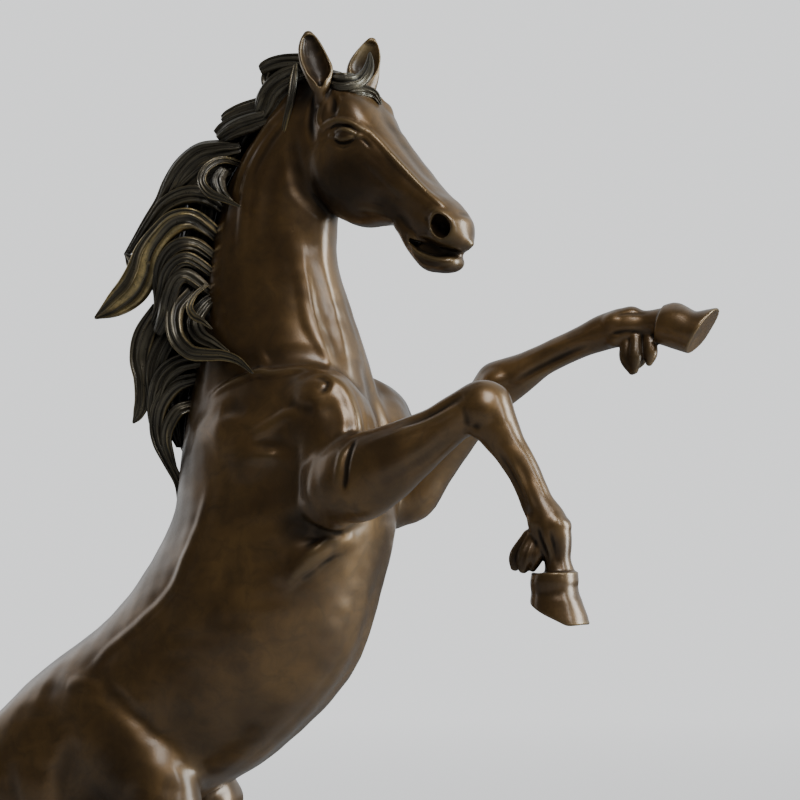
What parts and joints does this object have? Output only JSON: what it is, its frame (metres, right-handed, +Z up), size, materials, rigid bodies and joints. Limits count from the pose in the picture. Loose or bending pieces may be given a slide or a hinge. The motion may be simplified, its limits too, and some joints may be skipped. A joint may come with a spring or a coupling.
{
  "type": "rearing horse statuette",
  "caption": "Patinated bronze figurine of a rearing horse with a wind-blown mane, standing on rockwork bolted to a dark marble slab.",
  "frame": {"origin": "centre of the felt's underside, which is what the statue rests on", "axes": "+Z up, +X the way the horse's body faces, +Y the horse's left"},
  "size_m": [0.4299, 0.15, 0.6125],
  "materials": {
    "bronze": "brown patina under glossy lacquer, rubbed golden on the high points",
    "dark_bronze": "near-black patina, rubbed golden on the ridges",
    "marble": "polished black with fine pale veins",
    "felt": "dense green wool felt",
    "steel": "zinc plated",
    "brass": "turned, unpolished"
  },
  "bodies": {
    "root": {"torso_casting": "bronze", "neck_casting": "bronze", "head_casting": "bronze", "right_foreleg": "bronze", "left_foreleg": "bronze", "right_hind_leg": "bronze", "left_hind_leg": "bronze", "tail_casting": "dark_bronze", "mane_poll_tuft": "dark_bronze", "mane_crest_locks": "dark_bronze", "mane_upper_sweep": "dark_bronze", "mane_long_lock": "dark_bronze", "mane_curled_lock": "dark_bronze", "mane_lower_locks": "dark_bronze", "mane_trailing_lock": "dark_bronze", "forelock": "dark_bronze", "ground_casting": "dark_bronze", "neck_joint_sleeve": "brass", "head_joint_sleeve": "brass", "right_foreleg_dowel": "brass", "left_foreleg_dowel": "brass", "right_hind_leg_dowel": "brass", "left_hind_leg_dowel": "brass", "tail_dowel": "brass", "right_hoof_stud": "steel", "right_hoof_washer": "steel", "right_hoof_nut": "steel", "left_hoof_stud": "steel", "left_hoof_washer": "steel", "left_hoof_nut": "steel", "tail_foot_stud": "steel", "tail_foot_washer": "steel", "tail_foot_nut": "steel", "marble_base": "marble", "felt_sheet": "felt"}
  },
  "joints": []
}
